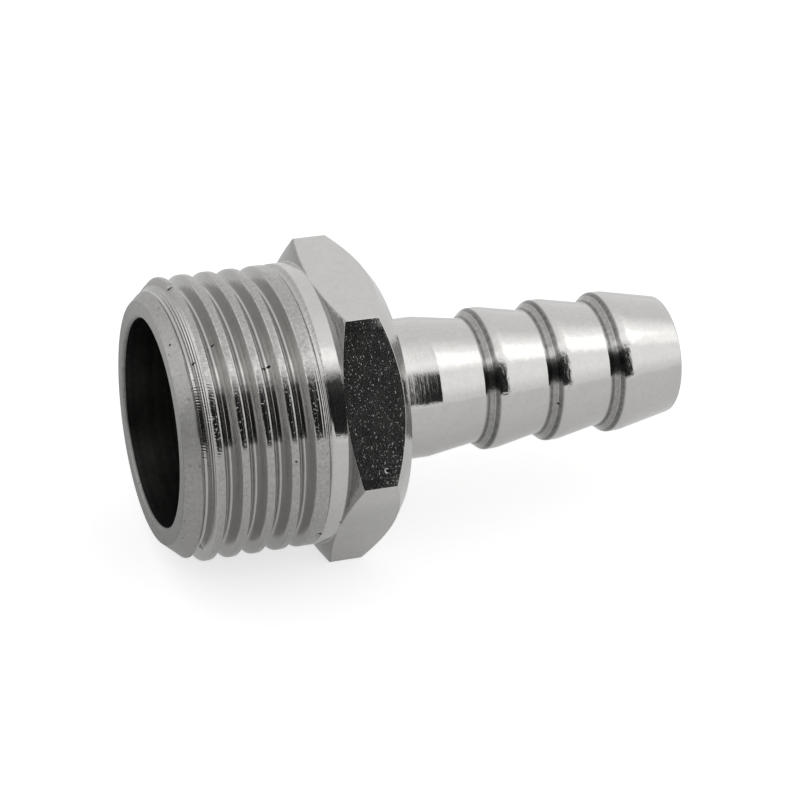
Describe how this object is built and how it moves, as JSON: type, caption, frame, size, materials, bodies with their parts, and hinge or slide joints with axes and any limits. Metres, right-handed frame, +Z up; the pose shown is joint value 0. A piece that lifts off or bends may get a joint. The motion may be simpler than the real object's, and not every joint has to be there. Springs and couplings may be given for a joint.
{
  "type": "hose barb tail",
  "caption": "Straight hose tail turned from hexagonal bar: a male parallel pipe thread with an open mouth, a spanner hexagon and a barbed stem, nickel plated.",
  "frame": {"origin": "centre of the mouth's flat sealing face, on the axis", "axes": "+X along the axis from the threaded mouth to the barbed tip, +Z up, out of the hexagon's flat opposite the one that it lies on"},
  "size_m": [0.0406, 0.0242, 0.021],
  "materials": {
    "nickel_plate": "brass with bright nickel plating over turning marks"
  },
  "bodies": {
    "root": {"hose_tail": "nickel_plate"}
  },
  "joints": []
}
